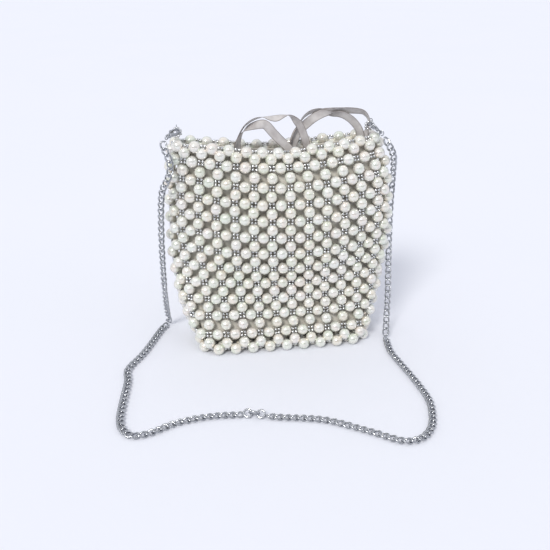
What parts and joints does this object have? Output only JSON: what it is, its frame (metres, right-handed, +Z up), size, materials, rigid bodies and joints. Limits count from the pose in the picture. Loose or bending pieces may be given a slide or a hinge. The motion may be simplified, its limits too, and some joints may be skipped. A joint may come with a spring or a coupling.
{
  "type": "evening bag",
  "caption": "Woven bead pouch bag with satin lining, ribbon drawstring pulls and a clip-on curb chain strap resting on the ground in front.",
  "frame": {"origin": "on the ground under the middle of the bag, strap left out", "axes": "+Z up, +X to the bag's right as seen from the front, -Y out of the front, where the strap lies"},
  "size_m": [0.2753, 0.2465, 0.2263],
  "materials": {
    "pearl": "soft pearl gloss, ivory",
    "satin_lining": "grey taupe satin",
    "satin_ribbon": "silver grey satin ribbon",
    "silver_bead": "silver coated glass seed beads",
    "silver_metal": "polished silver plate",
    "silver_chain": "polished silver plate"
  },
  "bodies": {
    "bag": {"net_front": "pearl", "net_back": "pearl", "net_left_side": "pearl", "net_right_side": "pearl", "net_base": "pearl", "lining_pouch": "satin_lining", "drawstring_casing": "satin_lining", "bead_loop_left": "silver_bead", "bead_loop_right": "silver_bead"},
    "strap": {"corner_ring_left": "silver_metal", "corner_ring_right": "silver_metal", "clasp_body_left": "silver_metal", "clasp_body_right": "silver_metal", "tail_ring_left": "silver_metal", "tail_ring_right": "silver_metal", "chain_drop_left": "silver_chain", "chain_drop_right": "silver_chain"},
    "strap_loop": {"chain_floor_left": "silver_chain", "chain_floor_right": "silver_chain", "joiner_ring_left": "silver_chain", "joiner_ring_middle": "silver_chain", "joiner_ring_right": "silver_chain"},
    "lever_left": {"clasp_lever_left": "silver_metal"},
    "lever_right": {"clasp_lever_right": "silver_metal"},
    "ribbons_left": {"ribbon_left_outer": "satin_ribbon", "ribbon_left_inner": "satin_ribbon"},
    "ribbons_right": {"ribbon_right_outer": "satin_ribbon", "ribbon_right_inner": "satin_ribbon"}
  },
  "joints": [
    {"name": "strap_lift", "type": "hinge", "parent": "bag", "child": "strap", "pos_m": [0, 0, 0.2142], "axis": [-1, 0, 0], "range_deg": [0, 170]},
    {"name": "strap_unbend", "type": "hinge", "parent": "strap", "child": "strap_loop", "pos_m": [-0.00325, 0.0045, 0.003], "axis": [0.9545, -0.2981, 0], "range_deg": [0, 90]},
    {"name": "clasp_gate_left", "type": "hinge", "parent": "strap", "child": "lever_left", "pos_m": [-0.10036, -0.00633, 0.21191], "axis": [0, 0.3401, -0.9404], "range_deg": [0, 25], "stiffness_Nm_per_rad": 0.002},
    {"name": "clasp_gate_right", "type": "hinge", "parent": "strap", "child": "lever_right", "pos_m": [0.08723, -0.00978, 0.20929], "axis": [-0.5, 0.2946, -0.8144], "range_deg": [0, 25], "stiffness_Nm_per_rad": 0.002},
    {"name": "ribbon_pull_left", "type": "slide", "parent": "bag", "child": "ribbons_left", "axis": [0, 0, 1], "range_m": [0, 0.02]},
    {"name": "ribbon_pull_right", "type": "slide", "parent": "bag", "child": "ribbons_right", "axis": [0, 0, 1], "range_m": [0, 0.02]}
  ],
  "couplings": [
    {"joint": "strap_unbend", "follows": "strap_lift", "ratio": 0.5}
  ]
}
